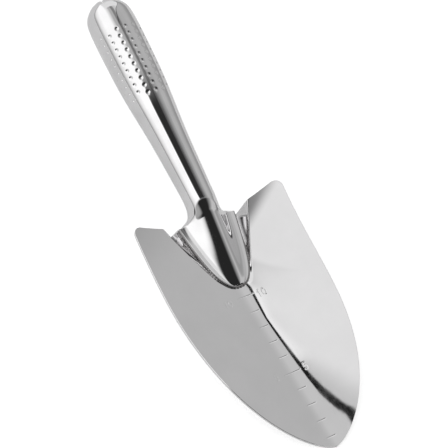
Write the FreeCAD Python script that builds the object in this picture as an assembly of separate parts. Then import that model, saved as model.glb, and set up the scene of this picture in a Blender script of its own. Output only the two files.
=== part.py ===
"""Hand trowel in stainless sheet: a pressed blade and a rolled tube handle welded onto it.

Frame: X across the blade, +Y from the blade's tip to the handle's end, +Z out of the hollow
side. The trowel lies on its back on the plane Z = 0, and the origin is under the middle of
its bounding box. Work is done in blade coordinates, where the tip is at y = 0 and the keel's
upper face at z = 0, and each finished solid is then moved into the frame. Millimetres.
"""
import FreeCAD, Part
import math
import os

from FreeCAD import Vector

# ---- blade ----
BLADE_T = 1.5              # sheet thickness
BLADE_L = 149.0            # tip to shoulder corner, along the keel
BLADE_HALF_W = 47.5        # half of the full width
OGIVE_L = 115.5            # length over which the blade narrows to its tip
OGIVE_POWER = 2.69         # how late the narrowing starts
OGIVE_BLUNT = 0.672        # below 1, a blunter tip
SHOULDER_SLANT = 0.15      # the back edge falls this much per mm towards the keel
CORNER_R = 5.0             # rounded shoulder corners
DISH = 10.0                # rise of the side edges above the keel
DISH_MORE = 7.3            # further rise of the edges at the back
KEEL_RISE = 3.5            # rise of the wings' root line at the back
BACK_START = 80.0          # where the two extra rises begin
VALLEY_SOFT = 5.0          # half-width over which the valley is rounded
BOWL_SHARE = 0.25          # part of the dish that is a parabola, the rest being a V
GROOVE_FAN = 0.436         # each groove's outer rim moves out this much per mm of length
GROOVE_APEX = 82.4         # where the two rims would meet
GROOVE_MID = 0.45          # a groove's bottom lies this share of the way from the tang to the rim
GROOVE_FADE = (100.0, 140.0)   # the grooves deepen between these lengths
LAND_FADE = (102.0, 112.0)     # the raised land under the tang fades in between these
LAND_SOFT = 1.0            # rounding where the land meets the wing
BLADE_SPANS = (60, 64)     # spline spans of its faces, along and across
BLADE_SPARE = 2.0          # the sheet is made this much larger than its outline
OGIVE_POINTS = 14
OGIVE_CROWD = 1.7          # above 1, the outline's points crowd towards the tip

# ---- stamped depth scale ----
SCALE_STEP = 10.0
SCALE_FIRST = 6.0          # first line, measured from the tip
SCALE_LINES = 10
LINE_HALF = 2.6
LONG_LINE_HALF = 5.0
LINE_W = 0.5
LINE_DEPTH = 0.25
LINE_POINTS = 7            # points along a line's floor, which follows the valley
CUTTER_TOP = 6.0           # clears the blade over any scale line
FIVES = (5, 10)

# ---- handle ----
TUBE_T = 1.0               # sheet thickness
TANG_TIP = 103.0           # tip of the tang, from the blade's tip
TANG_L = 40.5              # tip of the tang to its corners
TANG_HALF_W = 17.3         # half-width at the corners
TANG_POWER = 0.37          # roundness of the shield outline
TANG_FLANGE = 0.9          # the arch ends at this share of the half-width, then lies flat
RIDGE_TIP_H = 1.2          # ridge above the flange at the tip
NECK_Y = 155.7             # where the axis starts
NECK_Z = 14.2
AXIS_TILT = math.radians(10.4)
FLARE_END = 3.0            # distance along the axis where the tube is fully round
FLARE_POWER = 2.2
PROFILE = [                # (distance along the axis, outer radius) up to the dome
    (3.0, 8.9), (20.0, 9.75), (45.0, 11.25), (70.0, 13.3), (100.0, 14.15), (116.0, 13.85)]
DOME = [                   # the closed-in end
    (120.0, 13.2), (123.0, 11.7), (126.0, 9.0), (128.2, 5.8), (128.9, 3.9)]
SEAM_GAP = 1.2             # butt seam along the underside, filled by the seam weld
PETALS = 8
SLIT_W = 1.1
SLIT_START = 123.6         # distance along the axis where the slits between petals begin
SLIT_BOX = (40.0, 2.0)     # a slot cutter's width across the tube, and its spare length
TUBE_V = 5.0               # end of the handle surface's lengthwise parameter
TANG_V = 0.1               # its start, where the tang is still as wide as its blunt tip
TIP_HALF_W = 1.2           # half-width of the tang's blunt tip
SEAT_GAP = 0.05            # joint clearance between the tang and the blade
TUBE_SPANS = (96, 50)      # spline spans of its faces, along and round

# ---- grip dimples ----
DIMPLE_ROWS = 16           # evenly spaced round the tube, with none on the seam
DIMPLES_PER_ROW = 10       # one fewer in the staggered rows
DIMPLE_PITCH = 4.6
DIMPLE_FIRST = 63.5        # distance along the axis of the first dimple
STAGGER = 0.55            # every other row is shifted this share of the pitch
DIMPLE_D = 2.4
DIMPLE_DEPTH = 0.42

# ---- welds ----
BEAD = 1.3                 # leg of the fillet weld round the tang
BEAD_CROWN = (0.55, 0.28)  # its crown, out from the tang and up, in legs
BEAD_SINK = 0.02           # its toe and root stand this far off the blade
BEAD_STATIONS = [1.0, 0.92, 0.8, 0.66, 0.52, 0.38, 0.25, 0.16]   # root of the share of TANG_L
BEAD_TIP = 0.5             # its foot at the tip, behind the tang's own tip
SEAM_CROWN = 0.12          # the seam weld stands this proud
SEAM_WELD_SPAN = (8.0, 116.0)
SEAM_SECTIONS = 13

DOME_END = DOME[-1][0]
TOTAL_L = NECK_Y + DOME_END * math.cos(AXIS_TILT) + DOME[-1][1] * math.sin(AXIS_TILT)
TO_FRAME = Vector(0.0, -TOTAL_L / 2.0, BLADE_T)


# ---------------------------------------------------------------- blade surface
def rise(y):
    """0 up to BACK_START, growing as a square to 1 at the shoulders."""
    return max(0.0, (y - BACK_START) / (BLADE_L - BACK_START)) ** 2


def smooth(a, b, v):
    s = min(1.0, max(0.0, (v - a) / (b - a)))
    return s * s * (3.0 - 2.0 * s)


def tang_half(y):
    """Half-width of the tang, 0 ahead of its tip."""
    v = min(1.0, max(0.0, (y - TANG_TIP) / TANG_L))
    return TANG_HALF_W * v ** TANG_POWER


def wing(u, y):
    """Height of the dished sheet at distance u from the keel, with no grooves."""
    s = u / BLADE_HALF_W
    e = VALLEY_SOFT / BLADE_HALF_W
    vee = (math.hypot(s, e) - e) / (math.hypot(1.0, e) - e)
    section = (1.0 - BOWL_SHARE) * vee + BOWL_SHARE * s * s
    return KEEL_RISE * rise(y) + (DISH + DISH_MORE * rise(y)) * section


def land(y):
    """Half-width of the raised land under the tang, which fades in behind its tip."""
    return tang_half(y) * smooth(LAND_FADE[0], LAND_FADE[1], y)


def blade_z(x, y):
    """Upper face of the blade."""
    u = abs(x)
    inner = land(y)
    top = wing(0.5 * (u + inner + math.hypot(u - inner, LAND_SOFT)), y)
    edge = tang_half(y)
    rim = GROOVE_FAN * (y - GROOVE_APEX)
    if rim <= edge:
        return top
    middle = edge + GROOVE_MID * (rim - edge)
    side = (rim - middle) if u > middle else (middle - edge + LAND_SOFT / 2.0)
    away = min(1.0, abs(u - middle) / side)
    depth = wing(middle, y) * smooth(GROOVE_FADE[0], GROOVE_FADE[1], y)
    return top - depth * math.cos(0.5 * math.pi * away) ** 2


def tang_seat(y):
    """Height of the blade where the tang's flange rests on it."""
    return wing(max(tang_half(y), TIP_HALF_W), y) + SEAT_GAP


# ---------------------------------------------------------------- sheet solids
def pole_places(a, b, spans):
    """Where a clamped cubic spline's poles belong between a and b."""
    steps = [0.0, 1.0 / 3.0] + list(range(1, spans)) + [spans - 1.0 / 3.0, float(spans)]
    return [a + (b - a) * step / spans for step in steps]


def spline_face(grid):
    """A spline face that follows the grid of points closely, without waves. It is cubic, or
    straight across a grid of two rows."""
    across = 3 if len(grid) > 2 else 1
    degrees = (across, 3)
    counts = (len(grid), len(grid[0]))
    knots = [[float(i) for i in range(n - d + 1)] for n, d in zip(counts, degrees)]
    mults = [[d + 1] + [1] * (n - d - 1) + [d + 1] for n, d in zip(counts, degrees)]
    surface = Part.BSplineSurface()
    surface.buildFromPolesMultsKnots(
        grid, mults[0], mults[1], knots[0], knots[1], False, False, *degrees)
    return surface.toShape()


def borders(grid):
    """The first and last row and the first and last column of a grid."""
    return [grid[0], grid[-1], [row[0] for row in grid], [row[-1] for row in grid]]


def normal_at(point, u, v, us, vs):
    du = 1e-4 * (us[-1] - us[0])
    dv = 1e-4 * (vs[-1] - vs[0])
    along = point(min(u + du, us[-1]), v) - point(max(u - du, us[0]), v)
    across = point(u, min(v + dv, vs[-1])) - point(u, max(v - dv, vs[0]))
    return along.cross(across).normalize()


def sheet_solid(point, us, vs, offset):
    """A solid sheet: point(u, v) over the grid us x vs is one face, and the other face lies
    offset away from it along the surface's normal."""
    outer = [[point(u, v) for v in vs] for u in us]
    inner = [[point(u, v) + normal_at(point, u, v, us, vs) * offset for v in vs] for u in us]
    faces = [spline_face(outer), spline_face(inner)]
    faces += [spline_face([one, other]) for one, other in zip(borders(outer), borders(inner))]
    shell = Part.makeShell(faces)
    shell.sewShape()
    solid = Part.makeSolid(shell)
    if solid.Volume < 0.0:
        solid.reverse()
    return solid


def spread(a, b, count):
    return [a + (b - a) * i / (count - 1) for i in range(count)]


# ---------------------------------------------------------------- blade
def main_blade():
    half = BLADE_HALF_W + BLADE_SPARE
    ys = pole_places(-BLADE_SPARE, BLADE_L + BLADE_SPARE, BLADE_SPANS[0])
    xs = pole_places(-half, half, BLADE_SPANS[1])
    sheet = sheet_solid(lambda y, x: Vector(x, y, blade_z(x, y)), ys, xs, BLADE_T)
    reach = Vector(0.0, 0.0, BLADE_HALF_W)
    face = Part.Face(outline_wire())
    face.translate(-reach)
    blank = face.extrude(reach * 2.0)
    return cut_scale(sheet.common(blank))


def half_width(y):
    left = max(0.0, 1.0 - y / OGIVE_L)
    return BLADE_HALF_W * (1.0 - left ** OGIVE_POWER) ** OGIVE_BLUNT


def outline_wire():
    """Plan of the blade: ogive sides, straight flanks, rounded corners, slanted back edge."""
    ogive = [Vector(0.0, 0.0, 0.0)]
    for i in range(1, OGIVE_POINTS + 1):
        y = OGIVE_L * (i / OGIVE_POINTS) ** OGIVE_CROWD
        ogive.append(Vector(half_width(y), y, 0.0))
    side = Part.BSplineCurve()
    side.interpolate(ogive)
    top = ogive[-1]
    corner = Vector(BLADE_HALF_W, BLADE_L, 0.0)
    back = Vector(0.0, BLADE_L - SHOULDER_SLANT * BLADE_HALF_W, 0.0)
    along_back = (back - corner).normalize()
    turn = math.acos(-along_back.y)
    reach = CORNER_R / math.tan(turn / 2.0)
    start = corner + Vector(0.0, -reach, 0.0)
    end = corner + along_back * reach
    to_centre = (along_back + Vector(0.0, -1.0, 0.0)).normalize()
    middle = corner + to_centre * (CORNER_R / math.sin(turn / 2.0) - CORNER_R)
    right = [
        side.toShape(),
        Part.LineSegment(top, start).toShape(),
        Part.Arc(start, middle, end).toShape(),
        Part.LineSegment(end, back).toShape(),
    ]
    left = [edge.mirror(Vector(0, 0, 0), Vector(1, 0, 0)) for edge in right]
    return Part.Wire(Part.__sortEdges__(right + left))


def cut_scale(blade):
    """Stamped lines across the keel, a long one at every fifth centimetre."""
    tools = []
    for k in range(1, SCALE_LINES + 1):
        y = SCALE_FIRST + SCALE_STEP * (k - 1)
        half = LONG_LINE_HALF if k in FIVES else LINE_HALF
        tools.append(scale_cutter(y, half))
    return blade.cut(tools)


def scale_cutter(y, half):
    """A thin strip whose underside lies LINE_DEPTH under the blade's upper face."""
    xs = spread(-half, half, LINE_POINTS)
    floor = [Vector(x, y - LINE_W / 2.0, blade_z(x, y) - LINE_DEPTH) for x in xs]
    roof = [Vector(x, y - LINE_W / 2.0, CUTTER_TOP) for x in (half, -half)]
    face = Part.Face(Part.makePolygon(floor + roof + [floor[0]]))
    return face.extrude(Vector(0.0, LINE_W, 0.0))


# ---------------------------------------------------------------- handle surface
def curve_through(points):
    curve = Part.BSplineCurve()
    curve.interpolate([Vector(s, r, 0.0) for s, r in points])
    return curve


TUBE_CURVE = curve_through(PROFILE + DOME)


def on_profile(v):
    """Distance along the axis and radius at v, which runs from 0 to 1 over the tube."""
    first, last = TUBE_CURVE.FirstParameter, TUBE_CURVE.LastParameter
    p = TUBE_CURVE.value(first + (last - first) * v)
    return p.x, p.y


def radius_at(s):
    """Outer radius at distance s along the axis, found by halving."""
    low, high = 0.0, 1.0
    for _ in range(40):
        middle = 0.5 * (low + high)
        if on_profile(middle)[0] < s:
            low = middle
        else:
            high = middle
    return on_profile(low)[1]


def axis_point(s):
    return Vector(0.0, NECK_Y + s * math.cos(AXIS_TILT), NECK_Z + s * math.sin(AXIS_TILT))


def ring_point(s, radius, t):
    """t runs from -1 to 1 round the tube, from one side of the seam to the other."""
    angle = t * (math.pi - 0.5 * SEAM_GAP / radius)
    up = Vector(0.0, -math.sin(AXIS_TILT), math.cos(AXIS_TILT))
    return axis_point(s) + Vector(1, 0, 0) * (radius * math.sin(angle)) + up * (
        radius * math.cos(angle))


def ridge_height(y):
    """Top of the tang's ridge, from the tang's tip up to the neck."""
    low = tang_seat(TANG_TIP) + TUBE_T + RIDGE_TIP_H
    high = ring_point(FLARE_END, PROFILE[0][1], 0.0)
    return low + (high.z - low) * (y - TANG_TIP) / (high.y - TANG_TIP)


def arch_point(y, t):
    """The open tang: a rounded ridge whose flanks run out into a flat flange."""
    half = max(tang_half(y), TIP_HALF_W)
    flange = tang_seat(y) + TUBE_T
    share = min(abs(t) / TANG_FLANGE, 1.0)
    lift = (ridge_height(y) - flange) * math.cos(0.5 * math.pi * share) ** 2
    return Vector(half * t, y, flange + lift)


def handle_point(v, t):
    """v: 0 to 1 over the tang, 1 to 2 over the flare, 2 to TUBE_V over the tube."""
    if v <= 1.0:
        return arch_point(TANG_TIP + TANG_L * v * v, t)
    if v < 2.0:
        part = v - 1.0
        corner = TANG_TIP + TANG_L
        round_end = axis_point(FLARE_END)
        y = corner + (round_end.y - corner) * part
        s = (y - NECK_Y) / math.cos(AXIS_TILT)
        weight = 1.0 - (1.0 - part) ** FLARE_POWER
        open_part = arch_point(y, t)
        closed_part = ring_point(s, PROFILE[0][1], t)
        return open_part * (1.0 - weight) + closed_part * weight
    s, radius = on_profile((v - 2.0) / (TUBE_V - 2.0))
    return ring_point(s, radius, t)


def handle_tube():
    along = pole_places(TANG_V, TUBE_V, TUBE_SPANS[0])
    around = pole_places(-1.0, 1.0, TUBE_SPANS[1])
    shell = sheet_solid(handle_point, along, around, TUBE_T)
    return shell.cut(slit_cutters() + dimple_cutters())


def slit_cutters():
    """Slots that part the domed end into petals."""
    cutters = []
    width, spare = SLIT_BOX
    size = (width, SLIT_W, DOME_END - SLIT_START + spare)
    for k in range(PETALS // 2):
        angle = 360.0 / PETALS * (k + 0.5)
        box = Part.makeBox(*size, Vector(-width / 2.0, -SLIT_W / 2.0, 0.0))
        box.rotate(Vector(0, 0, 0), Vector(0, 0, 1), angle)
        box.rotate(Vector(0, 0, 0), Vector(1, 0, 0), math.degrees(AXIS_TILT) - 90.0)
        box.translate(axis_point(SLIT_START))
        cutters.append(box)
    return cutters


def dimple_cutters():
    """Shallow round dents in rows along the grip. Every other row, apart from the top one,
    is staggered."""
    ball_r = (DIMPLE_D ** 2 / 4.0 + DIMPLE_DEPTH ** 2) / (2.0 * DIMPLE_DEPTH)
    balls = []
    for row in range(1 - DIMPLE_ROWS // 2, DIMPLE_ROWS // 2):
        staggered = row % 2 == 0 and row != 0
        shift = STAGGER * DIMPLE_PITCH if staggered else 0.0
        count = DIMPLES_PER_ROW - 1 if staggered else DIMPLES_PER_ROW
        for k in range(count):
            s = DIMPLE_FIRST + shift + DIMPLE_PITCH * k
            surface = ring_point(s, radius_at(s), row * 2.0 / DIMPLE_ROWS)
            outwards = (surface - axis_point(s)).normalize()
            centre = surface + outwards * (ball_r - DIMPLE_DEPTH)
            balls.append(Part.makeSphere(ball_r, centre, outwards))
    return balls


# ---------------------------------------------------------------- welds
def tang_weld_bead():
    """Fillet weld round the tang's edge, from one corner round the tip to the other."""
    lengths = [TANG_TIP + TANG_L * v * v for v in BEAD_STATIONS]
    right = [bead_section(y, 1.0) for y in lengths]
    left = [bead_section(y, -1.0) for y in reversed(lengths)]
    return Part.makeLoft(right + [bead_tip_section()] + left, True)


def bead_wire(outward, foot, z_foot):
    """One closed section: up the flange's edge, over the crown and down to the blade."""
    toe = foot + outward * BEAD
    z_toe = blade_z(toe.x, toe.y) + BEAD_SINK
    z_crown = 0.5 * (z_foot + TUBE_T + z_toe) + BEAD_CROWN[1] * BEAD
    crown = foot + outward * (BEAD_CROWN[0] * BEAD)
    points = [
        Vector(foot.x, foot.y, z_foot),
        Vector(foot.x, foot.y, z_foot + TUBE_T),
        Vector(crown.x, crown.y, z_crown),
        Vector(toe.x, toe.y, z_toe),
    ]
    return Part.makePolygon(points + [points[0]])


def bead_section(y, sign):
    half = tang_half(y)
    slope = (tang_half(y + 0.05) - tang_half(y - 0.05)) / 0.1
    outward = Vector(sign, -slope, 0.0).normalize()
    return bead_wire(outward, Vector(sign * half, y, 0.0), tang_seat(y))


def bead_tip_section():
    foot = Vector(0.0, TANG_TIP + BEAD_TIP, 0.0)
    return bead_wire(Vector(0.0, -1.0, 0.0), foot, tang_seat(TANG_TIP))


def handle_seam_weld():
    """The bead that closes the butt seam along the underside of the tube."""
    sections = []
    for s in spread(SEAM_WELD_SPAN[0], SEAM_WELD_SPAN[1], SEAM_SECTIONS):
        r = radius_at(s)
        top = r - TUBE_T
        corners = [ring_point(s, r, -1.0), ring_point(s, r, 1.0)]
        centre = axis_point(s)
        shrink = top / r
        inner = [centre + (p - centre) * shrink for p in corners]
        crown = centre + (corners[0] + corners[1] - centre * 2.0).normalize() * (r + SEAM_CROWN)
        loop = [inner[0], corners[0], crown, corners[1], inner[1], inner[0]]
        sections.append(Part.makePolygon(loop))
    return Part.makeLoft(sections, True)


def main():
    os.makedirs("parts", exist_ok=True)
    nodes = {
        "blade": main_blade(),
        "handle_tube": handle_tube(),
        "tang_weld_bead": tang_weld_bead(),
        "handle_seam_weld": handle_seam_weld(),
    }
    for name, shape in nodes.items():
        if len(shape.Solids) == 1:
            shape = shape.Solids[0]
        shape.translate(TO_FRAME)
        shape.exportStep("parts/" + name + ".step")
        box = shape.BoundBox
        print(name, "solids", len(shape.Solids), "valid", shape.isValid(),
              "volumes", [round(solid.Volume) for solid in shape.Solids],
              "y %.1f %.1f z %.1f %.1f" % (box.YMin, box.YMax, box.ZMin, box.ZMax),
              "centre y", [round(solid.CenterOfMass.y, 1) for solid in shape.Solids])


main()
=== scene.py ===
"""Hand trowel in polished stainless sheet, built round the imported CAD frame.

The steel's faces are dense meshes made from the same formulas as the CAD solids. Shapes are
worked out in millimetres in blade coordinates: the tip at y = 0, the keel's upper face at
z = 0, X across the blade. `to_frame` then moves them into the frame, in metres.
"""
import math

import bmesh
import bpy
import numpy as np
from mathutils import Matrix, Vector


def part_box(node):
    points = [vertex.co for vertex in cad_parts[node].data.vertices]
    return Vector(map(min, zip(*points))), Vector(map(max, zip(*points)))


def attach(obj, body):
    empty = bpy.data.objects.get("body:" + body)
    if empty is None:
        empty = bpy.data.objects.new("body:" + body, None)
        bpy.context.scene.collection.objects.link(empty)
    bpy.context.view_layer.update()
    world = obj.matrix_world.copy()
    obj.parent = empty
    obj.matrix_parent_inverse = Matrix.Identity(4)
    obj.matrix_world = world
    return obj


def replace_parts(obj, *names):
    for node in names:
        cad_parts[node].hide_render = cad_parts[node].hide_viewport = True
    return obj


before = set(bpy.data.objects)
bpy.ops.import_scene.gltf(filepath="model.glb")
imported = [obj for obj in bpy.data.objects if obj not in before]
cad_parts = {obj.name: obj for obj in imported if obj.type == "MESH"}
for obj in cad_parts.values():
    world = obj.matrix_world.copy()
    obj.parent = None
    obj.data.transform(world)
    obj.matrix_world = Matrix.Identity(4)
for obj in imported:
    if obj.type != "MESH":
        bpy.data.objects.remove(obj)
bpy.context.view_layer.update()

MM = 0.001
PI = math.pi

# ---- blade, as in the CAD model (mm) ----
BLADE_T = 1.5
BLADE_L = 149.0
BLADE_HALF_W = 47.5
OGIVE_L = 115.5
OGIVE_POWER = 2.69
OGIVE_BLUNT = 0.672
SHOULDER_SLANT = 0.15
CORNER_R = 5.0
DISH = 10.0
DISH_MORE = 7.3
KEEL_RISE = 3.5
BACK_START = 80.0
VALLEY_SOFT = 5.0
BOWL_SHARE = 0.25
GROOVE_FAN = 0.436
GROOVE_APEX = 82.4
GROOVE_MID = 0.45
GROOVE_FADE = (100.0, 140.0)
LAND_FADE = (102.0, 112.0)
LAND_SOFT = 1.0

# ---- scale on the blade (mm) ----
SCALE_STEP = 10.0
SCALE_FIRST = 6.0
SCALE_LINES = 10
LINE_HALF = 2.6
LONG_LINE_HALF = 5.0
LINE_W = 0.5
LINE_DEPTH = 0.16
FIVES = (5, 10)
DIGIT_SIZE = (2.3, 3.8)        # width and height of a numeral
DIGIT_W = 0.42                 # width of its strokes
DIGIT_DEPTH = 0.11

# ---- handle, as in the CAD model (mm) ----
TUBE_T = 1.0
TANG_TIP = 103.0
TANG_L = 40.5
TANG_HALF_W = 17.3
TANG_POWER = 0.37
TANG_FLANGE = 0.9
RIDGE_TIP_H = 1.2
TIP_HALF_W = 1.2
TANG_V = 0.1
SEAT_GAP = 0.05
NECK_Y = 155.7
NECK_Z = 14.2
AXIS_TILT = math.radians(10.4)
FLARE_END = 3.0
FLARE_POWER = 2.2
PROFILE = [
    (3.0, 8.9), (20.0, 9.75), (45.0, 11.25), (70.0, 13.3), (100.0, 14.15), (116.0, 13.85),
    (120.0, 13.2), (123.0, 11.7), (126.0, 9.0), (128.2, 5.8), (128.9, 3.9)]
TUBE_SLACK = 0.13          # the visible tube is this much slimmer than the CAD one
SEAM_GAP = 1.2
PETALS = 8
SLIT_W = 1.1
SLIT_START = 123.6
DIMPLE_ROWS = 16
DIMPLES_PER_ROW = 10       # one fewer in the staggered rows
DIMPLE_PITCH = 4.6
DIMPLE_FIRST = 63.5
STAGGER = 0.55
DIMPLE_D = 2.4
DIMPLE_DEPTH = 0.42
BEAD = 1.3
SEAM_CROWN = 0.12
SEAM_WELD_SPAN = (8.0, 116.0)

TIP_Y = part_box("blade")[0].y / MM
BACK_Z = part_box("blade")[0].z / MM + BLADE_T


# ---------------------------------------------------------------- blade formulas
def rise(y):
    """0 up to BACK_START, growing as a square to 1 at the shoulders."""
    return np.maximum(0.0, (y - BACK_START) / (BLADE_L - BACK_START)) ** 2


def smooth(a, b, v):
    s = np.clip((v - a) / (b - a), 0.0, 1.0)
    return s * s * (3.0 - 2.0 * s)


def tang_half(y):
    """Half-width of the tang, 0 ahead of its tip."""
    v = np.clip((y - TANG_TIP) / TANG_L, 0.0, 1.0)
    return TANG_HALF_W * v ** TANG_POWER


def wing(u, y):
    """Height of the dished sheet at distance u from the keel, with no grooves."""
    s = u / BLADE_HALF_W
    e = VALLEY_SOFT / BLADE_HALF_W
    vee = (np.hypot(s, e) - e) / (math.hypot(1.0, e) - e)
    section = (1.0 - BOWL_SHARE) * vee + BOWL_SHARE * s * s
    return KEEL_RISE * rise(y) + (DISH + DISH_MORE * rise(y)) * section


def blade_z(x, y):
    """Upper face of the blade, without its scale."""
    u = np.abs(x)
    inner = tang_half(y) * smooth(LAND_FADE[0], LAND_FADE[1], y)
    top = wing(0.5 * (u + inner + np.hypot(u - inner, LAND_SOFT)), y)
    edge = tang_half(y)
    rim = GROOVE_FAN * (y - GROOVE_APEX)
    middle = edge + GROOVE_MID * (rim - edge)
    side = np.where(u > middle, rim - middle, middle - edge + LAND_SOFT / 2.0)
    away = np.clip(np.abs(u - middle) / np.maximum(side, 1e-6), 0.0, 1.0)
    depth = wing(middle, y) * smooth(GROOVE_FADE[0], GROOVE_FADE[1], y)
    return np.where(rim > edge, top - depth * np.cos(0.5 * PI * away) ** 2, top)


def half_width(y):
    left = np.clip(1.0 - y / OGIVE_L, 0.0, 1.0)
    return BLADE_HALF_W * (1.0 - left ** OGIVE_POWER) ** OGIVE_BLUNT


def tang_seat(y):
    """Height of the blade where the tang's flange rests on it."""
    return wing(np.maximum(tang_half(y), TIP_HALF_W), y) + SEAT_GAP


# ---------------------------------------------------------------- handle formulas
def cubic_through(points):
    """A smooth curve through points: a natural cubic spline over chord length, 0 to 1."""
    points = np.array(points, float)
    chords = np.hypot(*np.diff(points, axis=0).T)
    knots = np.concatenate([[0.0], np.cumsum(chords)]) / chords.sum()
    count = len(points)
    system, known = np.eye(count), np.zeros_like(points)
    steps = np.diff(knots)
    for i in range(1, count - 1):
        system[i, i - 1:i + 2] = steps[i - 1], 2.0 * (steps[i - 1] + steps[i]), steps[i]
        known[i] = 6.0 * ((points[i + 1] - points[i]) / steps[i]
                          - (points[i] - points[i - 1]) / steps[i - 1])
    bend = np.linalg.solve(system, known)

    def at(v):
        i = np.clip(np.searchsorted(knots, v, side="right") - 1, 0, count - 2)
        h = steps[i][..., None]
        b = ((v - knots[i]) / steps[i])[..., None]
        a = 1.0 - b
        return (a * points[i] + b * points[i + 1]
                + ((a ** 3 - a) * bend[i] + (b ** 3 - b) * bend[i + 1]) * h * h / 6.0)
    return at


TUBE_CURVE = cubic_through(PROFILE)
CURVE_TABLE = TUBE_CURVE(np.linspace(0.0, 1.0, 4001))
CURVE_TABLE[:, 1] -= TUBE_SLACK * smooth(FLARE_END, 40.0, CURVE_TABLE[:, 0])


def radius_at(s):
    """Outer radius at distance s along the axis."""
    return np.interp(s, CURVE_TABLE[:, 0], CURVE_TABLE[:, 1])


def axis_point(s):
    s = np.asarray(s, float)
    return np.stack([0.0 * s, NECK_Y + s * math.cos(AXIS_TILT),
                     NECK_Z + s * math.sin(AXIS_TILT)], -1)


UP = np.array([0.0, -math.sin(AXIS_TILT), math.cos(AXIS_TILT)])
ACROSS = np.array([1.0, 0.0, 0.0])


def ring_point(s, radius, t):
    """t runs from -1 to 1 round the tube, from one side of the seam to the other."""
    angle = t * (PI - 0.5 * SEAM_GAP / radius)
    return (axis_point(s) + ACROSS * (radius * np.sin(angle))[..., None]
            + UP * (radius * np.cos(angle))[..., None])


def ridge_height(y):
    """Top of the tang's ridge, from the tang's tip up to the neck."""
    low = tang_seat(TANG_TIP) + TUBE_T + RIDGE_TIP_H
    high = ring_point(np.array(FLARE_END), np.array(PROFILE[0][1]), np.array(0.0))
    return low + (high[2] - low) * (y - TANG_TIP) / (high[1] - TANG_TIP)


def arch_point(y, t):
    """The open tang: a rounded ridge whose flanks run out into a flat flange."""
    half = np.maximum(tang_half(y), TIP_HALF_W)
    flange = tang_seat(y) + TUBE_T
    share = np.minimum(np.abs(t) / TANG_FLANGE, 1.0)
    lift = (ridge_height(y) - flange) * np.cos(0.5 * PI * share) ** 2
    return np.stack([half * t, y + 0.0 * t, flange + lift], -1)


def tang_grid(v, t):
    """The tang, v from 0 at its tip to 1 at its corners."""
    v, t = np.broadcast_arrays(v[:, None], t[None, :])
    return arch_point(TANG_TIP + TANG_L * v ** 2, t)


def flare_grid(part, t):
    """From the tang's corners, part = 0, to the round tube, part = 1."""
    part, t = np.broadcast_arrays(part[:, None], t[None, :])
    corner = TANG_TIP + TANG_L
    round_end = axis_point(FLARE_END)
    y = corner + (round_end[1] - corner) * part
    s = (y - NECK_Y) / math.cos(AXIS_TILT)
    weight = (1.0 - (1.0 - part) ** FLARE_POWER)[..., None]
    round_part = ring_point(s, PROFILE[0][1] + 0.0 * s, t)
    return arch_point(y, t) * (1.0 - weight) + round_part * weight


def dent_depth(s, t):
    """How deep the grip's dents are at distance s and turn t round the tube."""
    s, t = np.broadcast_arrays(s, t)
    depth = np.zeros(s.shape)
    for row in range(1 - DIMPLE_ROWS // 2, DIMPLE_ROWS // 2):
        staggered = row % 2 == 0 and row != 0
        shift = STAGGER * DIMPLE_PITCH if staggered else 0.0
        last = DIMPLES_PER_ROW - 2 if staggered else DIMPLES_PER_ROW - 1
        place = (s - DIMPLE_FIRST - shift) / DIMPLE_PITCH
        nearest = np.clip(np.round(place), 0, last)
        along = (place - nearest) * DIMPLE_PITCH
        around = (t - row * 2.0 / DIMPLE_ROWS) * PI * radius_at(s)
        share = np.minimum(np.hypot(along, around) / (DIMPLE_D / 2.0), 1.0)
        depth = np.maximum(depth, DIMPLE_DEPTH * (1.0 - share ** 2) ** 1.2)
    return depth


def tube_grid(s, t):
    s, t = np.broadcast_arrays(s[:, None], t[None, :])
    return ring_point(s, radius_at(s) - dent_depth(s, t), t)


# ---------------------------------------------------------------- mesh helpers
class Sheet:
    """Collects vertices and faces of one piece."""

    def __init__(self):
        self.points = []
        self.faces = []
        self.count = 0

    def add(self, grid):
        """Adds a grid of points and returns its vertex numbers, in the grid's shape."""
        flat = grid.reshape(-1, 3)
        self.points.append(flat)
        ids = np.arange(self.count, self.count + len(flat)).reshape(grid.shape[:-1])
        self.count += len(flat)
        return ids

    def quads(self, ids, flip=False):
        a, b, c, d = ids[:-1, :-1], ids[1:, :-1], ids[1:, 1:], ids[:-1, 1:]
        corners = (a, d, c, b) if flip else (a, b, c, d)
        self.faces.extend(np.stack([k.ravel() for k in corners], -1).tolist())

    def build(self, name, material, sharp=34.0):
        points = np.concatenate(self.points)
        used = np.unique(np.concatenate([np.array(f) for f in self.faces]))
        place = -np.ones(len(points), int)
        place[used] = np.arange(len(used))
        faces = [[int(place[i]) for i in f] for f in self.faces]
        mesh = bpy.data.meshes.new(name)
        mesh.from_pydata(to_frame(points[used]).tolist(), [], faces)
        mesh.validate()
        weld_points(mesh)
        mesh.shade_smooth()
        mesh.set_sharp_from_angle(angle=math.radians(sharp))
        mesh.materials.append(material)
        piece = bpy.data.objects.new(name, mesh)
        bpy.context.scene.collection.objects.link(piece)
        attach(piece, "root")
        return piece


def weld_points(mesh):
    """Joins points that coincide and turns every face outwards."""
    work = bmesh.new()
    work.from_mesh(mesh)
    bmesh.ops.remove_doubles(work, verts=work.verts, dist=0.004 * MM)
    bmesh.ops.dissolve_degenerate(work, edges=work.edges, dist=0.001 * MM)
    bmesh.ops.recalc_face_normals(work, faces=work.faces)
    work.to_mesh(mesh)
    work.free()


def to_frame(points):
    return (points + np.array([0.0, TIP_Y, BACK_Z])) * MM


def grid_normals(grid):
    along = np.gradient(grid, axis=0)
    across = np.gradient(grid, axis=1)
    normal = np.cross(across, along)
    return normal / (np.linalg.norm(normal, axis=-1, keepdims=True) + 1e-12)


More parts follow.
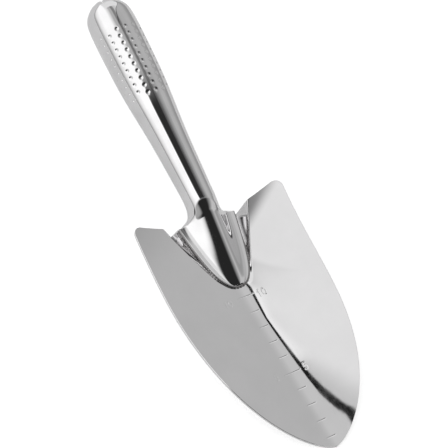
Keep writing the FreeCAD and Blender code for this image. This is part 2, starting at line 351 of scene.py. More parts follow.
def rows_between(places, steps):
    """Rows through the given places, with that many steps in each stretch."""
    out = [np.array([places[0]])]
    for a, b, n in zip(places, places[1:], steps):
        out.append(np.linspace(a, b, n + 1)[1:])
    return np.concatenate(out)


RIM_STEPS = 6              # faces round a half-round rim
RIM_BULGE = 0.3            # how far it stands out
RIM_INSET = 0.32           # the blade's border row lies this far inside its outline
SHOWN_T = BLADE_T - 0.02   # sheet thickness of the visible blade


def round_edge(sheet, outer, inner, grid_in, ids_out, ids_in, flip):
    """A half-round rim from one border row to the other. grid_in is the row next to the
    border, which tells the outward direction."""
    axis = outer - grid_in
    thick = outer - inner
    depth = np.linalg.norm(thick, axis=-1, keepdims=True)
    normal = thick / depth
    axis = axis - normal * (axis * normal).sum(-1, keepdims=True)
    axis /= np.linalg.norm(axis, axis=-1, keepdims=True) + 1e-12
    rings = [ids_out]
    for k in range(1, RIM_STEPS):
        angle = PI * k / RIM_STEPS
        ring = (outer - normal * depth * 0.5 * (1.0 - math.cos(angle))
                + axis * RIM_BULGE * math.sin(angle) ** 0.6)
        rings.append(sheet.add(ring))
    rings.append(ids_in)
    sheet.quads(np.stack(rings), flip)



# ---------------------------------------------------------------- blade
def side_curve(count_ogive=150):
    """Right-hand border of the blade from the tip to the top of its rounded corner."""
    crowd = np.linspace(0.0, 1.0, count_ogive) ** 1.8
    y = OGIVE_L * crowd
    ogive = np.stack([half_width(y), y], -1)
    turn = math.radians(90.0) - math.atan(SHOULDER_SLANT)
    reach = CORNER_R / math.tan(0.5 * turn)
    centre = np.array([BLADE_HALF_W - CORNER_R, BLADE_L - reach])
    angle = np.linspace(0.0, 0.5 * PI, 14)
    arc = centre + CORNER_R * np.stack([np.cos(angle), np.sin(angle)], -1)
    return np.concatenate([ogive, arc]), centre


def inset_curve(curve, r):
    """The curve moved inwards by r. Its first point stays on the middle line."""
    direction = np.gradient(curve, axis=0)
    direction /= np.linalg.norm(direction, axis=-1, keepdims=True)
    moved = curve + r * np.stack([-direction[:, 1], direction[:, 0]], -1)
    moved[0] = (0.0, r)
    moved = moved[moved[:, 0] >= 0.0]
    return moved


def strokes(digit):
    """Centre lines of a numeral in a 1 x 1 box, as polylines."""
    if digit == "1":
        return [[(0.2, 0.76), (0.55, 1.0), (0.55, 0.0)]]
    if digit == "0":
        turn = np.linspace(0.0, 2.0 * PI, 21)
        return [[(0.5 + 0.45 * math.cos(a), 0.5 + 0.5 * math.sin(a)) for a in turn]]
    bowl = np.linspace(0.62 * PI, -0.72 * PI, 14)
    round_part = [(0.45 + 0.42 * math.cos(a), 0.32 + 0.32 * math.sin(a)) for a in bowl]
    return [[(0.85, 1.0), (0.2, 1.0), (0.14, 0.52)] + round_part]


def distance_to_line(x, y, a, b):
    ax, ay = a
    dx, dy = b[0] - ax, b[1] - ay
    share = np.clip(((x - ax) * dx + (y - ay) * dy) / (dx * dx + dy * dy), 0.0, 1.0)
    return np.hypot(x - ax - share * dx, y - ay - share * dy)


def groove(distance, width, depth):
    """Depth of a rounded engraved line at this distance from its centre line."""
    return depth * (1.0 - smooth(0.15 * width, 0.62 * width, distance))


FIVE_Y = 46.3
TEN_Y = 94.5
NUMERALS = [                   # text, place of its middle
    ("5", -9.9, FIVE_Y), ("5", 8.6, FIVE_Y), ("10", -12.3, TEN_Y), ("10", 9.6, TEN_Y)]


def scale_depth(x, y):
    """Depth of the scale's lines and numerals below the blade's face."""
    depth = np.zeros(x.shape)
    for k in range(1, SCALE_LINES + 1):
        line_y = SCALE_FIRST + SCALE_STEP * (k - 1)
        half = LONG_LINE_HALF if k in FIVES else LINE_HALF
        away = distance_to_line(x, y, (-half, line_y), (half, line_y))
        depth = np.maximum(depth, groove(away, LINE_W, LINE_DEPTH))
    width, height = DIGIT_SIZE
    for text, mid_x, mid_y in NUMERALS:
        for place, digit in enumerate(text):
            left = mid_x + (place - 0.5 * len(text)) * width * 1.25
            bottom = mid_y - 0.5 * height
            for line in strokes(digit):
                line = [(left + width * px, bottom + height * py) for px, py in line]
                for a, b in zip(line, line[1:]):
                    away = distance_to_line(x, y, a, b)
                    depth = np.maximum(depth, groove(away, DIGIT_W, DIGIT_DEPTH))
    return depth


def blade_rows(last):
    """Distances from the tip of the mesh rows, crowded at the tip and at the scale."""
    rows = [3.0 * np.linspace(0.0, 1.0, 22) ** 2]
    rows.append(np.arange(3.0, last, 0.8))
    for k in range(SCALE_LINES):
        line_y = SCALE_FIRST + SCALE_STEP * k
        rows.append(line_y + np.linspace(-0.45, 0.45, 8))
    for mid_y in (FIVE_Y, TEN_Y):
        rows.append(mid_y + np.linspace(-2.3, 2.3, 27))
    rows = np.unique(np.concatenate(rows))
    keep = np.concatenate([[True], np.diff(rows) > 0.06])
    rows = rows[keep]
    return rows[rows < last - 0.3]


EDGE_COLUMN = 18           # mesh columns, counted from the keel, that follow the tang's edge
RIM_COLUMN = 50            # and the groove's outer rim
DENSE_COLUMNS = 62
OUTER_COLUMNS = 22
DENSE_SHARE = 0.33
EVEN_SHARE = 0.35          # how evenly the columns beyond the groove are spaced


def blade_columns(width, y):
    """Places of the mesh columns right of the keel: dense where the scale is, and along the
    tang's edge and the groove behind it."""
    dense = np.linspace(0.0, DENSE_SHARE, DENSE_COLUMNS + 1)
    outer = np.linspace(DENSE_SHARE, 1.0, OUTER_COLUMNS + 1)[1:]
    plain = np.concatenate([dense, outer])[None, :] * width
    rim = GROOVE_FAN * (np.maximum(y, TANG_TIP) - GROOVE_APEX)
    edge = np.maximum(tang_half(y), GROOVE_MID * rim)
    number = np.arange(DENSE_COLUMNS + OUTER_COLUMNS + 1)[None, :]
    inside = edge * number / EDGE_COLUMN
    beside = edge + (rim - edge) * (number - EDGE_COLUMN) / (RIM_COLUMN - EDGE_COLUMN)
    last = number[0, -1]
    beyond = (number - RIM_COLUMN) / (last - RIM_COLUMN)
    beyond = rim + (width - rim) * (EVEN_SHARE * beyond + (1.0 - EVEN_SHARE) * beyond ** 2)
    fitted = np.where(number <= EDGE_COLUMN, inside,
                      np.where(number <= RIM_COLUMN, beside, beyond))
    return plain + (fitted - plain) * smooth(TANG_TIP - 9.0, TANG_TIP, y)


def slanted(x, side_y, top_y, centre):
    """Distance from the tip of a mesh row at x, for a row that meets the border at side_y.
    The last rows bend down to the slanted back edge."""
    slant_angle = math.atan(SHOULDER_SLANT)
    arc_r = CORNER_R - RIM_INSET
    arc_side = arc_r * math.sin(slant_angle)
    over = np.clip(centre[0] - np.abs(x), 0.0, arc_side)
    on_arc = centre[1] + np.sqrt(arc_r ** 2 - over ** 2)
    back_y = on_arc - SHOULDER_SLANT * np.clip(centre[0] - arc_side - np.abs(x), 0.0, None)
    return side_y - (top_y - back_y) * (side_y / top_y) ** 10


def blade_piece(material):
    border, centre = side_curve()
    border = inset_curve(border, RIM_INSET)
    corner_rows = 12
    straight = border[:-corner_rows]
    rows = blade_rows(straight[-1, 1])
    rows = rows[rows > border[0, 1]]
    side_x = np.interp(rows, straight[:, 1], straight[:, 0])
    side = np.concatenate([border[:1], np.stack([side_x, rows], -1), border[-corner_rows:]])
    top_y = side[-1, 1]
    half = blade_columns(side[:, :1], side[:, 1:])
    for _ in range(3):
        half = blade_columns(side[:, :1], slanted(half, side[:, 1:], top_y, centre))
    x = np.concatenate([-half[:, :0:-1], half], axis=1)
    columns = x.shape[1]
    y = slanted(x, side[:, 1:], top_y, centre)
    z = blade_z(x, y)
    smooth_top = np.stack([x, y, z], -1)
    eps = 0.01
    slope_x = (blade_z(x + eps, y) - blade_z(x - eps, y)) / (2.0 * eps)
    slope_y = (blade_z(x, y + eps) - blade_z(x, y - eps)) / (2.0 * eps)
    normal = np.stack([-slope_x, -slope_y, np.ones_like(x)], -1)
    normal /= np.linalg.norm(normal, axis=-1, keepdims=True)
    top = smooth_top - normal * scale_depth(x, y)[..., None]
    bottom = smooth_top - normal * SHOWN_T
    below = smooth_top - np.array([0.0, 0.0, 1.0]) * (SHOWN_T / normal[..., 2:])
    below[..., 2] = np.maximum(below[..., 2], -SHOWN_T)
    for place in ((0, slice(None)), (-1, slice(None)), (slice(None), 0), (slice(None), -1)):
        bottom[place] = below[place]
    sheet = Sheet()
    top_ids = sheet.add(top)
    bottom_ids = sheet.add(bottom)
    sheet.quads(top_ids)
    coarse_face(sheet, bottom_ids)
    last = columns - 1
    near_left, near_right = top[:, 1].copy(), top[:, last - 1].copy()
    near_left[0] = near_right[0] = top[0, 0] + np.array([0.0, RIM_BULGE, 0.0])
    for out_row, in_row, near, ids_a, ids_b, flip in (
            (top[:, 0], bottom[:, 0], near_left, top_ids[:, 0], bottom_ids[:, 0], False),
            (top[:, last], bottom[:, last], near_right,
             top_ids[:, last], bottom_ids[:, last], True),
            (top[-1], bottom[-1], top[-2], top_ids[-1], bottom_ids[-1], False)):
        round_edge(sheet, out_row, in_row, near, ids_a, ids_b, flip)
    return sheet.build("blade_polished", material)


# ---------------------------------------------------------------- handle
PETAL_COLUMNS = 28
SKIP = 4


def handle_columns():
    """Turns round the tube. The borders between petals fall on whole columns."""
    borders = [-1.0] + [(2 * k + 1) / PETALS - 1.0 for k in range(PETALS)] + [1.0]
    steps = [PETAL_COLUMNS // 2] + [PETAL_COLUMNS] * (PETALS - 1) + [PETAL_COLUMNS // 2]
    return rows_between(borders, steps), np.cumsum([0] + steps)


def sheet_pair(sheet, outer, normals, first=None):
    """Adds both faces of a stretch of sheet, and returns their vertex numbers. The inner
    face is coarse away from its borders. first is the rows it shares with the last one."""
    inner = outer - normals * TUBE_T
    ids_out, ids_in = sheet.add(outer), sheet.add(inner)
    if first is not None:
        ids_out[0], ids_in[0] = first
    sheet.quads(ids_out)
    coarse_face(sheet, ids_in)
    return ids_out, ids_in, inner


def coarse_face(sheet, ids):
    """Fills a face with every SKIP-th row and column, and a fan strip along its borders."""
    rows, columns = ids.shape
    if rows < 3 * SKIP or columns < 3 * SKIP:
        sheet.quads(ids, True)
        return
    inside = ids[np.ix_(range(SKIP, rows - SKIP, SKIP), range(SKIP, columns - SKIP, SKIP))]
    sheet.quads(inside, True)
    last_row = list(range(SKIP, rows - SKIP, SKIP))[-1]
    last_column = list(range(SKIP, columns - SKIP, SKIP))[-1]
    strip(sheet, ids[0, :], inside[0, :], last_column, False)
    strip(sheet, ids[-1, :], inside[-1, :], last_column, True)
    strip(sheet, ids[:, 0], inside[:, 0], last_row, True)
    strip(sheet, ids[:, -1], inside[:, -1], last_row, False)


def strip(sheet, fine, coarse, last, flip):
    """Joins a whole border row to a coarse row that starts SKIP in and ends at last."""
    faces = [(fine[i], fine[i + 1], coarse[0]) for i in range(SKIP)]
    for j in range(len(coarse) - 1):
        start = SKIP * (j + 1)
        for i in range(start, start + SKIP):
            near = coarse[j] if i < start + SKIP // 2 else coarse[j + 1]
            faces.append((fine[i], fine[i + 1], near))
        faces.append((coarse[j], fine[start + SKIP // 2], coarse[j + 1]))
    faces += [(fine[i], fine[i + 1], coarse[-1]) for i in range(last, len(fine) - 1)]
    sheet.faces.extend([[int(k) for k in (reversed(f) if flip else f)] for f in faces])


def handle_piece(material):
    t, borders = handle_columns()
    tang_v = TANG_V + (1.0 - TANG_V) * np.linspace(0.0, 1.0, 53)
    flare = np.linspace(0.0, 1.0, 29)[1:]
    grip = (DIMPLE_FIRST - DIMPLE_D / 2.0,
            DIMPLE_FIRST + DIMPLE_PITCH * (DIMPLES_PER_ROW - 1) + DIMPLE_D / 2.0)
    stations = rows_between([FLARE_END, grip[0], grip[1], SLIT_START], [44, 120, 20])[1:]
    main = np.concatenate([tang_grid(tang_v, t), flare_grid(flare, t), tube_grid(stations, t)])
    sheet = Sheet()
    normals = grid_normals(main)
    ids_out, ids_in, inner = sheet_pair(sheet, main, normals)
    for side, near, flip in ((0, 1, False), (-1, -2, True)):
        round_edge(sheet, main[:, side], inner[:, side], main[:, near],
                   ids_out[:, side], ids_in[:, side], flip)
    round_edge(sheet, main[0], inner[0], main[1], ids_out[0], ids_in[0], True)
    for a, b in zip(borders, borders[1:]):
        petal(sheet, t, a, b, ids_out, ids_in)
    return sheet.build("handle_polished", material)


def petal(sheet, t, a, b, ids_out, ids_in):
    """One petal of the closed-in end, between columns a and b."""
    s_path = CURVE_TABLE[CURVE_TABLE[:, 0] > SLIT_START]
    pick = np.linspace(0, len(s_path) - 1, 37).astype(int)
    s = np.concatenate([[SLIT_START], s_path[pick, 0]])[:, None]
    radius = np.concatenate([[radius_at(SLIT_START)], s_path[pick, 1]])[:, None]
    left_open = 0.0 if a == 0 else 1.0
    right_open = 0.0 if b == len(t) - 1 else 1.0
    opened = 0.5 * SLIT_W * smooth(0.0, 0.9, s - SLIT_START) ** 0.5 / (PI * radius)
    share = np.linspace(0.0, 1.0, b - a + 1)[None, :]
    lo = t[a] + left_open * opened
    hi = t[b] - right_open * opened
    turn = lo + (hi - lo) * share
    from_edge = np.minimum(np.where(left_open > 0.0, share, 1.0),
                           np.where(right_open > 0.0, 1.0 - share, 1.0)) * (b - a) / PETAL_COLUMNS
    sag = 0.35 * (1.0 - smooth(0.0, 0.22, from_edge)) * smooth(0.0, 2.5, s - SLIT_START)
    outer = ring_point(s + 0.0 * turn, radius + 0.0 * turn, turn)
    normals = grid_normals(outer)
    outer = outer - normals * sag[..., None]
    outer[0] = ring_point(s[0] + 0.0 * turn[0], radius[0] + 0.0 * turn[0], t[a:b + 1])
    first = (ids_out[-1, a:b + 1], ids_in[-1, a:b + 1])
    out, inn, inner = sheet_pair(sheet, outer, normals, first)
    for side, near, flip in ((0, 1, False), (-1, -2, True)):
        round_edge(sheet, outer[:, side], inner[:, side], outer[:, near],
                   out[:, side], inn[:, side], flip)
    round_edge(sheet, outer[-1], inner[-1], outer[-2], out[-1], inn[-1], False)


# ---------------------------------------------------------------- welds
def tang_bead_piece(material):
    """Ground fillet weld round the tang's edge, from one corner round the tip to the other."""
    v = np.linspace(1.0, 0.0, 90)
    y = TANG_TIP + TANG_L * v ** 2.6
    right = np.stack([np.maximum(tang_half(y), 0.0), y], -1)
    path = np.concatenate([right, right[-2::-1] * np.array([-1.0, 1.0])])
    along = np.gradient(path, axis=0)
    along /= np.linalg.norm(along, axis=-1, keepdims=True)
    outward = np.stack([-along[:, 1], along[:, 0]], -1)
    outward *= np.sign((outward * (path - np.array([0.0, NECK_Y]))).sum(-1, keepdims=True))
    distance = np.concatenate([[0.0], np.cumsum(np.linalg.norm(np.diff(path, axis=0), axis=1))])
    ripple = 1.0 + 0.05 * np.sin(distance * 2.0 * PI / 1.7) * (1.0 + np.sin(distance * 0.31))
    sections = []
    for k in range(11):
        angle = 0.5 * PI * k / 10.0
        out = BEAD * math.sin(angle) * ripple
        point = path + outward * out[:, None]
        high = tang_seat(path[:, 1]) + TUBE_T * 0.92
        low = blade_z(point[:, 0], point[:, 1]) - 0.05
        lift = math.cos(angle) ** 0.8
        z = low + (high - low) * lift
        sections.append(np.stack([point[:, 0], point[:, 1], z], -1))
    root = np.stack([path[:, 0], path[:, 1], tang_seat(path[:, 1]) - SEAT_GAP], -1)
    sections.append(root)
    sections.append(sections[0])
    grid = np.stack(sections)
    sheet = Sheet()
    ids = sheet.add(grid)
    sheet.quads(ids)
    for end in (0, -1):
        sheet.faces.append([int(i) for i in ids[:-1, end]])
    return sheet.build("tang_weld_polished", material)


def seam_weld_piece(material):
    """Planed bead along the underside of the tube, with the ripple of its passes."""
    s = np.linspace(SEAM_WELD_SPAN[0], SEAM_WELD_SPAN[1], 400)
    radius = radius_at(s)
    half = 0.5 * SEAM_GAP / radius
    ripple = 0.5 + 0.5 * np.sin(s * 2.0 * PI / 1.4) ** 2
    rows = []
    for share in np.linspace(-1.0, 1.0, 9):
        crown = SEAM_CROWN * (1.0 - share ** 2) * ripple
        rows.append(belly_point(s, radius + crown, half * share))
    for share in np.linspace(1.0, -1.0, 3):
        rows.append(belly_point(s, radius - TUBE_T, half * share))
    rows.append(rows[0])
    sheet = Sheet()
    ids = sheet.add(np.stack(rows))
    sheet.quads(ids)
    for end in (0, -1):
        sheet.faces.append([int(i) for i in ids[:-1, end]])
    return sheet.build("seam_weld_planed", material)


def belly_point(s, radius, angle):
    """A point on the underside of the tube, at this angle from its lowest line."""
    return (axis_point(s) + ACROSS * (radius * np.sin(angle))[..., None]
            - UP * (radius * np.cos(angle))[..., None])


# ---------------------------------------------------------------- materials
def noise(tree, stretch, scale, detail, rough=0.5):
    """Noise over the mesh's own coordinates, stretched per axis. scale is per metre."""
    coords = tree.nodes.new("ShaderNodeTexCoord")
    mapping = tree.nodes.new("ShaderNodeMapping")
    mapping.inputs["Scale"].default_value = stretch
    texture = tree.nodes.new("ShaderNodeTexNoise")
    texture.inputs["Scale"].default_value = scale
    texture.inputs["Detail"].default_value = detail
    texture.inputs["Roughness"].default_value = rough
    tree.links.new(coords.outputs["Object"], mapping.inputs["Vector"])
    tree.links.new(mapping.outputs["Vector"], texture.inputs["Vector"])
    return texture.outputs["Fac"]


def ranged(tree, value, low, high, to_low, to_high):
    node = tree.nodes.new("ShaderNodeMapRange")
    for key, number in zip(("From Min", "From Max", "To Min", "To Max"),
                           (low, high, to_low, to_high)):
        node.inputs[key].default_value = number
    tree.links.new(value, node.inputs["Value"])
    return node.outputs["Result"]


def steel(name, colours, roughness, grain, grain_depth, ripple_depth):
    """Polished stainless steel. grain stretches its fine polishing lines per axis."""
    material = bpy.data.materials.new(name)
    material.use_nodes = True
    tree = material.node_tree
    shader = tree.nodes["Principled BSDF"]
    shader.inputs["Metallic"].default_value = 1.0
    cloud = noise(tree, (1.0, 1.0, 1.0), 55.0, 3.0)
    lines = noise(tree, grain, 900.0, 4.0, 0.65)
    smudge = noise(tree, (1.0, 0.7, 1.0), 130.0, 5.0, 0.6)
    ramp = tree.nodes.new("ShaderNodeMix")
    ramp.data_type = "RGBA"
    ramp.inputs["A"].default_value = (*colours[0], 1.0)
    ramp.inputs["B"].default_value = (*colours[1], 1.0)
    tree.links.new(ranged(tree, cloud, 0.35, 0.65, 0.0, 1.0), ramp.inputs["Factor"])
    tree.links.new(ramp.outputs["Result"], shader.inputs["Base Color"])
    blend = tree.nodes.new("ShaderNodeMath")
    blend.operation = "ADD"
    tree.links.new(ranged(tree, smudge, 0.4, 0.75, roughness[0], roughness[1]), blend.inputs[0])
    tree.links.new(ranged(tree, lines, 0.45, 0.75, 0.0, 0.3 * roughness[1]), blend.inputs[1])
    tree.links.new(blend.outputs["Value"], shader.inputs["Roughness"])
    fine = tree.nodes.new("ShaderNodeBump")
    fine.inputs["Strength"].default_value = 1.0
    fine.inputs["Distance"].default_value = grain_depth * MM
    tree.links.new(lines, fine.inputs["Height"])
    broad = tree.nodes.new("ShaderNodeBump")
    broad.inputs["Strength"].default_value = 1.0
    broad.inputs["Distance"].default_value = ripple_depth * MM
    tree.links.new(cloud, broad.inputs["Height"])
    tree.links.new(fine.outputs["Normal"], broad.inputs["Normal"])
    tree.links.new(broad.outputs["Normal"], shader.inputs["Normal"])
    return material


# ---------------------------------------------------------------- camera
# The view: turned about Y, tipped towards the blade's tip, then rolled. Focal length and
# principal point are shares of the picture's side; the target is in blade coordinates.
VIEW_TURN = math.radians(28.697)
VIEW_TIP = math.radians(-23.622)
VIEW_ROLL = math.radians(-31.818)
VIEW_DISTANCE = 756.0
VIEW_TARGET = (0.0, 140.0, 20.0)
SENSOR = 36.0
FOCAL = 3.1027
SHIFT = (0.0209, -0.0242)


def place_camera():
    back = Vector((-math.sin(VIEW_TURN) * math.cos(VIEW_TIP), math.sin(VIEW_TIP),
                   math.cos(VIEW_TURN) * math.cos(VIEW_TIP)))
    right = Vector((0.0, 1.0, 0.0)).cross(back).normalized()
    up = back.cross(right)
    turn = Matrix((right, up, back)).transposed() @ Matrix.Rotation(VIEW_ROLL, 3, "Z")
    target = Vector(to_frame(np.array(VIEW_TARGET)))
    data = bpy.data.cameras.new("camera")
    data.sensor_width = SENSOR
    data.lens = SENSOR * FOCAL
    data.shift_x, data.shift_y = SHIFT
    data.clip_start = 0.05
    data.clip_end = 50.0
    camera = bpy.data.objects.new("camera", data)
    camera.matrix_world = Matrix.Translation(target + back * VIEW_DISTANCE * MM) @ turn.to_4x4()
    bpy.context.scene.collection.objects.link(camera)
    bpy.context.scene.camera = camera


# ---------------------------------------------------------------- studio
class Maths:
    """Builds sums in a node tree. Every argument is a number or a socket."""

    def __init__(self, tree):
        self.tree = tree

    def do(self, operation, *values):
        node = self.tree.nodes.new("ShaderNodeMath")
        node.operation = operation
        for socket, value in zip(node.inputs, values):
            self.put(socket, value)
        return node.outputs["Value"]

    def put(self, socket, value):
        if isinstance(value, (int, float)):
            socket.default_value = value
        else:
            self.tree.links.new(value, socket)

    def step(self, value, low, high):
        """0 below low, 1 above high, smooth between."""
        node = self.tree.nodes.new("ShaderNodeMapRange")
        node.interpolation_type = "SMOOTHSTEP"
        self.put(node.inputs["Value"], value)
        self.put(node.inputs["From Min"], low)
        self.put(node.inputs["From Max"], high)
        return node.outputs["Result"]

    def band(self, value, low, high, soft):
        """1 between low and high, fading over soft outside them."""
        rising = self.step(value, low - soft, low)
        end = self.do("ADD", high, soft)
        falling = self.do("SUBTRACT", 1.0, self.step(value, high, end))
        return self.do("MULTIPLY", rising, falling)

    def mix(self, a, b, share):
        return self.do("ADD", self.do("MULTIPLY", a, self.do("SUBTRACT", 1.0, share)),
                       self.do("MULTIPLY", b, share))


DEGREES = 180.0 / PI
GAP_TURN = 5.5             # the gap's turn where it lies furthest left
GAP_TILT = 13.8            # and the tilt at which it does
GAP_LEVEL = 0.015
ROOM_LEVEL = 0.021         # the dark room beyond the open front
FLAG_LEVEL = 0.028
BACKDROP = 0.96            # what the camera sees behind the object


def light_the_studio():
    """A white tent whose right-hand side is grey, with a dark gap between the two, and the
    dark room beyond its open front. A direction is a turn about Y from the zenith, positive
    towards +X, and a tilt towards +Y, both in degrees."""
    world = bpy.data.worlds.new("studio")
    bpy.context.scene.world = world
    world.use_nodes = True
    tree = world.node_tree
    tree.nodes.clear()
    m = Maths(tree)
    coords = tree.nodes.new("ShaderNodeTexCoord")
    split = tree.nodes.new("ShaderNodeSeparateXYZ")
    tree.links.new(coords.outputs["Generated"], split.inputs["Vector"])
    x, y, z = split.outputs
    turn = m.do("MULTIPLY", m.do("ARCTAN2", x, z), DEGREES)
    tilt = m.do("MULTIPLY", m.do("ARCSINE", y), DEGREES)
    light = m.mix(0.38, 0.95, m.step(turn, -90.0, -72.0))
    light = m.mix(light, 1.18, m.step(turn, -74.0, -55.0))
    light = m.mix(light, 0.86, m.step(turn, -26.0, -15.0))
    # the gap between the white side and the grey side is furthest left at GAP_TILT
    above = m.do("MAXIMUM", 0.0, m.do("SUBTRACT", tilt, GAP_TILT))
    below = m.do("MAXIMUM", 0.0, m.do("SUBTRACT", GAP_TILT, tilt))
    gap = m.do("ADD", GAP_TURN, m.do("ADD", m.do("MULTIPLY", 1.75, above),
                                     m.do("MULTIPLY", 0.6, below)))
    past = m.do("SUBTRACT", turn, gap)
    gap_end = m.mix(1.0, 2.3, m.step(tilt, 13.2, 15.5))
    glow = m.mix(0.95, 0.64, m.step(tilt, 12.5, 13.5))
    glow = m.mix(glow, 1.0, m.step(tilt, 16.2, 17.2))
    light = m.mix(light, glow, m.step(past, -5.0, -0.8))
    grey = m.mix(0.62, 0.51, m.step(turn, 22.0, 42.0))
    grey = m.mix(grey, 0.36, m.step(turn, 55.0, 78.0))
    grey = m.mix(grey, 0.56, m.step(turn, 86.0, 110.0))
    light = m.mix(light, grey, m.step(past, 1.0, 3.0))
    light = m.mix(light, GAP_LEVEL, m.band(past, 0.2, gap_end, 0.5))
    # below the object's level the room is dark, and its walls are grey on both sides
    left_wall = m.mix(0.60, 0.41, m.step(turn, -90.0, -72.0))
    side = m.do("MAXIMUM", -60.0, m.do("ADD", -19.2, m.do("MULTIPLY", 3.4, tilt)))
    wall = m.mix(left_wall, ROOM_LEVEL, m.step(m.do("SUBTRACT", turn, side), -9.0, 9.0))
    wall = m.mix(wall, 0.36, m.step(turn, 8.0, 48.0))
    wall = m.mix(wall, 0.60, m.step(turn, 42.0, 62.0))
    level = m.step(tilt, -10.5, -5.0)
    light = m.mix(wall, light, level)
    background = tree.nodes.new("ShaderNodeBackground")
    background.inputs["Color"].default_value = (1.0, 1.0, 1.0, 1.0)
    tree.links.new(light, background.inputs["Strength"])
    plain = tree.nodes.new("ShaderNodeBackground")
    plain.inputs["Color"].default_value = (BACKDROP, BACKDROP, BACKDROP, 1.0)
    path = tree.nodes.new("ShaderNodeLightPath")
    pick = tree.nodes.new("ShaderNodeMixShader")
    output = tree.nodes.new("ShaderNodeOutputWorld")
    tree.links.new(path.outputs["Is Camera Ray"], pick.inputs["Fac"])
    tree.links.new(background.outputs["Background"], pick.inputs[1])
    tree.links.new(plain.outputs["Background"], pick.inputs[2])
    tree.links.new(pick.outputs["Shader"], output.inputs["Surface"])
    bpy.context.scene.view_settings.view_transform = "Standard"


FLAG_HEIGHT = 60.0         # above the handle's axis (mm)
FLAG_Y = (139.0, 320.0)    # from the blade's tip
FLAG_HALF_W = 80.0
FLAG_FADE = 7.0            # its front end fades in over this length
GRIP_FLAG_Y = (206.0, 240.0)   # the flag thins out between these, over the grip


def hang_flag():
    """A dark flag that hangs above the handle, thinner over the grip. The tube reflects it as
    its dark stripe. It takes no part in the lighting of the floor."""
    material = bpy.data.materials.new("flag")
    material.use_nodes = True
    tree = material.node_tree
    tree.nodes.clear()
    m = Maths(tree)
    coords = tree.nodes.new("ShaderNodeTexCoord")
    split = tree.nodes.new("ShaderNodeSeparateXYZ")
    tree.links.new(coords.outputs["Object"], split.inputs["Vector"])
    x = m.do("DIVIDE", split.outputs["X"], MM)
    y = m.do("SUBTRACT", m.do("DIVIDE", split.outputs["Y"], MM), TIP_Y)
    thin = m.step(y, *GRIP_FLAG_Y)
    left = m.mix(-27.0, -9.0, thin)
    soft = m.mix(7.0, 12.0, thin)
    rising = m.step(m.do("DIVIDE", m.do("SUBTRACT", x, m.do("SUBTRACT", left, soft)), soft),
                    0.0, 1.0)
    full = m.do("SUBTRACT", 1.0, m.do("MINIMUM", 1.0, m.do("MAXIMUM", 0.0, m.do(
        "DIVIDE", m.do("SUBTRACT", x, 3.0), 42.0))))
    middle = m.do("MULTIPLY", 0.33, m.band(x, 3.0, 9.0, 7.0))
    weak = m.do("ADD", m.do("MULTIPLY", 0.42, full), middle)
    front = m.step(y, FLAG_Y[0], FLAG_Y[0] + FLAG_FADE)
    cover = m.do("MULTIPLY", front, m.do("MULTIPLY", rising, m.mix(full, weak, thin)))
    dark = tree.nodes.new("ShaderNodeEmission")
    dark.inputs["Color"].default_value = (FLAG_LEVEL, FLAG_LEVEL, FLAG_LEVEL, 1.0)
    clear = tree.nodes.new("ShaderNodeBsdfTransparent")
    pick = tree.nodes.new("ShaderNodeMixShader")
    output = tree.nodes.new("ShaderNodeOutputMaterial")
    tree.links.new(cover, pick.inputs["Fac"])
    tree.links.new(clear.outputs["BSDF"], pick.inputs[1])
    tree.links.new(dark.outputs["Emission"], pick.inputs[2])
    tree.links.new(pick.outputs["Shader"], output.inputs["Surface"])
    lift = [NECK_Z + (y - NECK_Y) * math.tan(AXIS_TILT) + FLAG_HEIGHT for y in FLAG_Y]
    corners = np.array([(side * FLAG_HALF_W, FLAG_Y[end], lift[end])
                        for side, end in ((-1, 0), (1, 0), (1, 1), (-1, 1))])
    mesh = bpy.data.meshes.new("flag")
    mesh.from_pydata(to_frame(corners).tolist(), [], [(0, 1, 2, 3)])
    mesh.materials.append(material)
    flag = bpy.data.objects.new("flag", mesh)
    bpy.context.scene.collection.objects.link(flag)
    flag.visible_camera = False
    flag.visible_diffuse = False
    flag.visible_shadow = False


FLOOR_HALF = 6.0               # half-width of the floor (m)
FLOOR_GLOW = (0.18, 0.66)      # in the steel, and to the eye


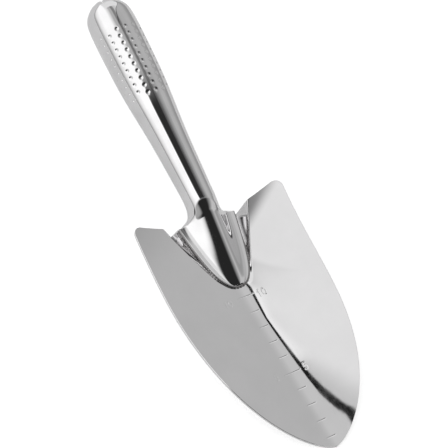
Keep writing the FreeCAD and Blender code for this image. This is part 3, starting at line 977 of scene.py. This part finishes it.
def lay_floor():
    """Plain pale floor, level with the plane that the trowel lies on. It looks brighter to the
    eye than in the steel, so that the background stays white."""
    material = bpy.data.materials.new("pale_floor")
    material.use_nodes = True
    tree = material.node_tree
    m = Maths(tree)
    shader = tree.nodes["Principled BSDF"]
    shader.inputs["Base Color"].default_value = (0.8, 0.8, 0.8, 1.0)
    shader.inputs["Roughness"].default_value = 0.9
    shader.inputs["Emission Color"].default_value = (1.0, 1.0, 1.0, 1.0)
    path = tree.nodes.new("ShaderNodeLightPath")
    tree.links.new(m.mix(*FLOOR_GLOW, path.outputs["Is Camera Ray"]),
                   shader.inputs["Emission Strength"])
    mesh = bpy.data.meshes.new("floor")
    side = FLOOR_HALF
    corners = [(-side, -side, 0.0), (side, -side, 0.0), (side, side, 0.0), (-side, side, 0.0)]
    mesh.from_pydata(corners, [], [(0, 1, 2, 3)])
    mesh.materials.append(material)
    floor = bpy.data.objects.new("floor", mesh)
    bpy.context.scene.collection.objects.link(floor)


def main():
    place_camera()
    light_the_studio()
    hang_flag()
    lay_floor()
    blade_steel = steel("blade_polish", ((0.86, 0.855, 0.86), (0.83, 0.825, 0.83)),
                        (0.02, 0.05), (1.0, 0.06, 1.0), 0.0004, 0.006)
    handle_steel = steel("handle_polish", ((0.86, 0.855, 0.86), (0.80, 0.795, 0.80)),
                         (0.025, 0.07), (1.0, 0.04, 1.0), 0.0007, 0.012)
    weld_steel = steel("weld_polish", ((0.74, 0.73, 0.72), (0.62, 0.61, 0.60)),
                       (0.12, 0.26), (1.0, 1.0, 1.0), 0.004, 0.03)
    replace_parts(blade_piece(blade_steel), "blade")
    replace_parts(handle_piece(handle_steel), "handle_tube")
    # The tang's weld bead gets a much darker copy of the weld steel. This is painted shade for
    # the shadow line and dark reflection round the tang's edge.
    shaded_weld_steel = steel("tang_weld_painted_shade", ((0.40, 0.39, 0.39), (0.30, 0.29, 0.29)),
                   (0.16, 0.30), (1.0, 1.0, 1.0), 0.004, 0.03)
    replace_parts(tang_bead_piece(shaded_weld_steel), "tang_weld_bead")
    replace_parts(seam_weld_piece(weld_steel), "handle_seam_weld")
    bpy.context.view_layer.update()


main()
